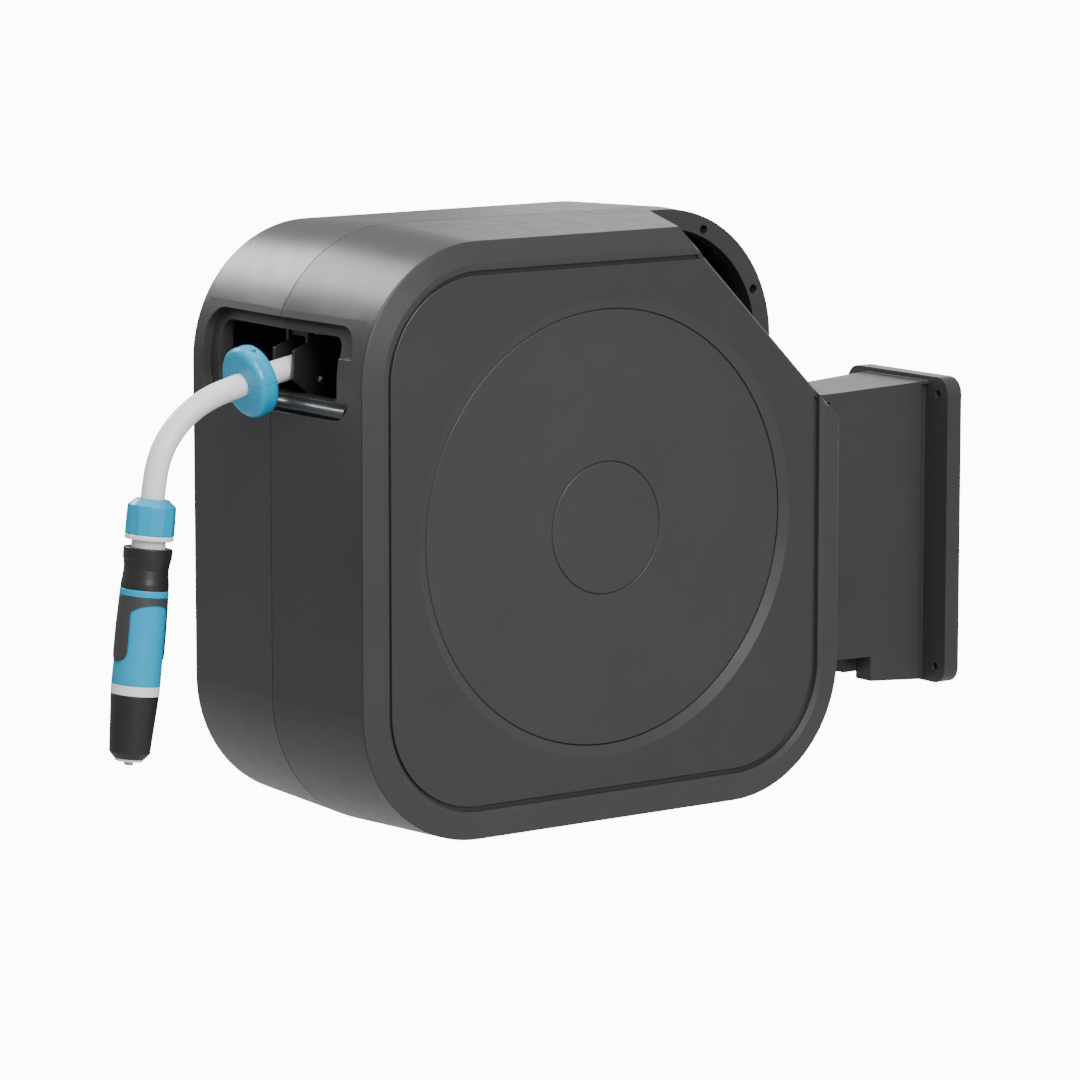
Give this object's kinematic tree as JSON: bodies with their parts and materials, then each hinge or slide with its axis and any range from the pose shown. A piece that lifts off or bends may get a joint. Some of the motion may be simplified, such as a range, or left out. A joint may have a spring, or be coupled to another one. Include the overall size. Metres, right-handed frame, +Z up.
{
  "type": "wall-mounted hose reel",
  "caption": "Wall-mounted auto-rewind hose reel: swivelling rounded casing on a bracket, with a level-wind carriage, a hose, its stopper and a hanging spray nozzle.",
  "frame": {"origin": "centre of the wall plate's back face, on the wall", "axes": "+Z up, +Y into the wall, -Y out of the hose mouth, +X the side with the round cover disc"},
  "size_m": [0.251, 0.7066, 0.4228],
  "materials": {
    "casing_plastic": "satin moulded anthracite plastic",
    "trim_plastic": "fine satin anthracite plastic",
    "black_plastic": "black moulded plastic",
    "blue_plastic": "light blue moulded plastic",
    "white_plastic": "white moulded plastic",
    "hose_pvc": "off-white smooth hose",
    "rubber": "black rubber",
    "nylon": "natural nylon",
    "zinc_steel": "zinc plated steel",
    "spring_steel": "blued spring steel",
    "brass": "turned brass"
  },
  "bodies": {
    "bracket": {"wall_bracket": "casing_plastic", "swivel_pin": "zinc_steel", "pin_clip": "zinc_steel"},
    "casing": {"swivel_saddle": "casing_plastic", "swivel_bushes": "nylon", "saddle_screws": "zinc_steel", "front_shell": "casing_plastic", "rear_shell": "casing_plastic", "front_cover": "casing_plastic", "cover_disc": "trim_plastic", "hub_cap": "trim_plastic", "inner_bulkhead": "black_plastic", "water_axle": "brass", "axle_nut": "zinc_steel", "inlet_elbow": "black_plastic", "inlet_spigot": "brass", "casing_screws": "zinc_steel", "guide_rod": "zinc_steel", "spring_arbor": "zinc_steel", "screw_bushes": "nylon", "drive_belt": "rubber", "pawl_pin": "zinc_steel", "pawl_spring": "spring_steel"},
    "drum": {"drum_flange_front": "black_plastic", "drum_flange_rear": "black_plastic", "drum_core": "black_plastic", "hose_winding": "hose_pvc", "drum_bushes": "nylon", "water_union": "brass", "union_seals": "rubber", "ratchet_wheel": "nylon", "drum_pulley": "nylon", "spring_cup": "nylon", "main_spring": "spring_steel"},
    "traverse": {"traverse_screw": "zinc_steel", "screw_pulley": "nylon"},
    "carriage": {"carriage_nut_block": "black_plastic", "carriage_slide_block": "black_plastic", "screw_follower": "nylon", "hose_cheek_left": "black_plastic", "hose_cheek_right": "black_plastic", "cheek_bolts": "spring_steel", "hose_lead": "hose_pvc", "stopper_upper": "blue_plastic", "stopper_lower": "blue_plastic", "stopper_screws": "zinc_steel", "hose_nut": "blue_plastic", "hose_tail": "white_plastic", "coupling_core": "white_plastic", "blue_ring": "blue_plastic", "nozzle_body": "blue_plastic", "nozzle_grips": "rubber", "white_ring": "white_plastic", "spray_stem": "brass"},
    "upper_roller": {"hose_roller_upper": "black_plastic"},
    "lower_roller": {"hose_roller_lower": "black_plastic"},
    "collar": {"coupling_collar": "black_plastic"},
    "spray_head": {"nozzle_head": "black_plastic", "tip_rim": "white_plastic"},
    "pawl": {"pawl": "zinc_steel"}
  },
  "joints": [
    {"name": "casing_swivel", "type": "hinge", "parent": "bracket", "child": "casing", "pos_m": [0, -0.1195, 0], "axis": [0, 0, 1], "range_deg": [-75, 75]},
    {"name": "drum_spin", "type": "hinge", "parent": "casing", "child": "drum", "pos_m": [0, -0.3645, 0.041], "axis": [1, 0, 0], "range_deg": [-900, 900]},
    {"name": "traverse_spin", "type": "hinge", "parent": "casing", "child": "traverse", "pos_m": [0, -0.5265, 0.197], "axis": [1, 0, 0], "range_deg": [-905, 905]},
    {"name": "carriage_slide", "type": "slide", "parent": "casing", "child": "carriage", "axis": [1, 0, 0], "range_m": [-0.0428, 0.0428]},
    {"name": "upper_roller_spin", "type": "hinge", "parent": "carriage", "child": "upper_roller", "pos_m": [0, -0.5225, 0.1776], "axis": [1, 0, 0], "continuous": true},
    {"name": "lower_roller_spin", "type": "hinge", "parent": "carriage", "child": "lower_roller", "pos_m": [0, -0.5225, 0.1482], "axis": [1, 0, 0], "continuous": true},
    {"name": "collar_slide", "type": "slide", "parent": "carriage", "child": "collar", "axis": [0, 0.1201, 0.9928], "range_m": [0, 0.004], "stiffness_N_per_m": 600, "springref_m": -0.004},
    {"name": "spray_head_twist", "type": "hinge", "parent": "carriage", "child": "spray_head", "pos_m": [0, -0.68972, -0.07311], "axis": [0, -0.1201, -0.9928], "range_deg": [-180, 180]},
    {"name": "pawl_swing", "type": "hinge", "parent": "casing", "child": "pawl", "pos_m": [0.063, -0.3645, 0.111], "axis": [1, 0, 0], "range_deg": [-10, 8], "stiffness_Nm_per_rad": 0.05}
  ],
  "couplings": [
    {"joint": "traverse_spin", "follows": "drum_spin", "ratio": 1},
    {"joint": "carriage_slide", "follows": "drum_spin", "m_per_rad": 0.0027056}
  ]
}
